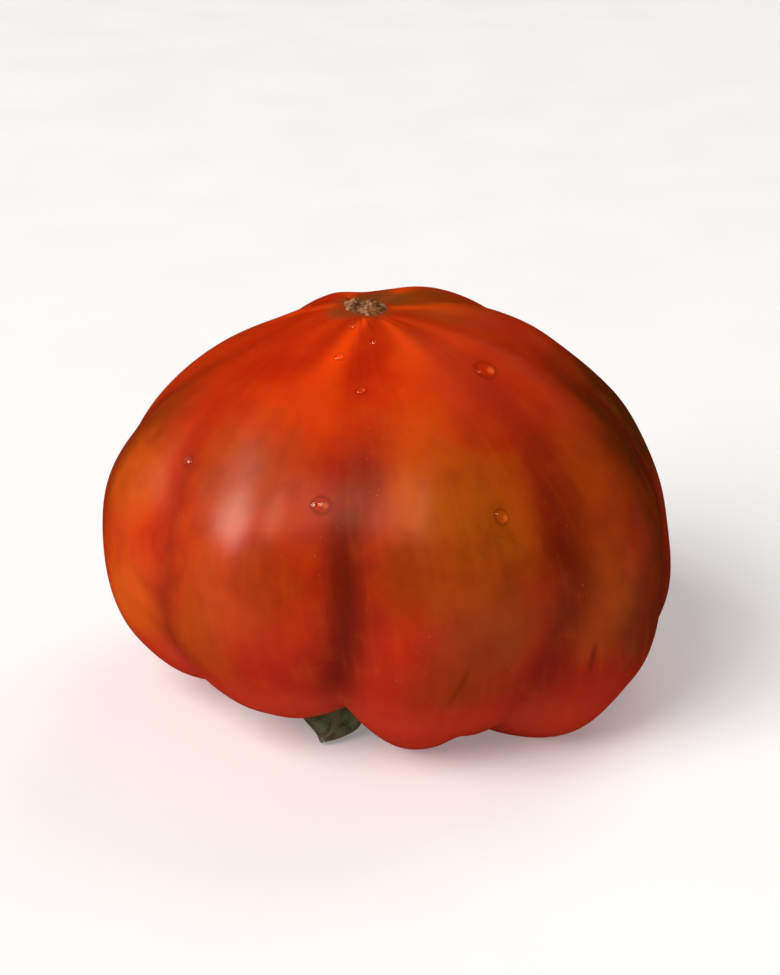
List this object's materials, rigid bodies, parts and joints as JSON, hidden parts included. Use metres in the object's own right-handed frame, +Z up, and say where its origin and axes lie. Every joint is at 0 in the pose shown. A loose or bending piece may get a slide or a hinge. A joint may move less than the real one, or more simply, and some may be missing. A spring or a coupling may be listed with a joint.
{
  "type": "tomato",
  "caption": "Ribbed oxheart tomato standing on its shoulders, blossom tip up, with the calyx and stem stub folded under it.",
  "frame": {"origin": "on the table under the middle of the fruit's box", "axes": "+Z up through the blossom tip, which stands highest; -Y towards the side that the picture shows; +X to that view's right"},
  "size_m": [0.0907, 0.0903, 0.0629],
  "materials": {
    "skin": "satin skin, red to orange with olive patches",
    "dry_scab": "dry and corky",
    "sepal": "matt, wilted, slightly furry",
    "stem": "matt, ridged, dry at the break",
    "water": "clear drops that stand on the skin"
  },
  "bodies": {
    "root": {"fruit": "skin", "blossom_remnant": "dry_scab", "calyx": "sepal", "stem_stub": "stem"}
  },
  "joints": []
}
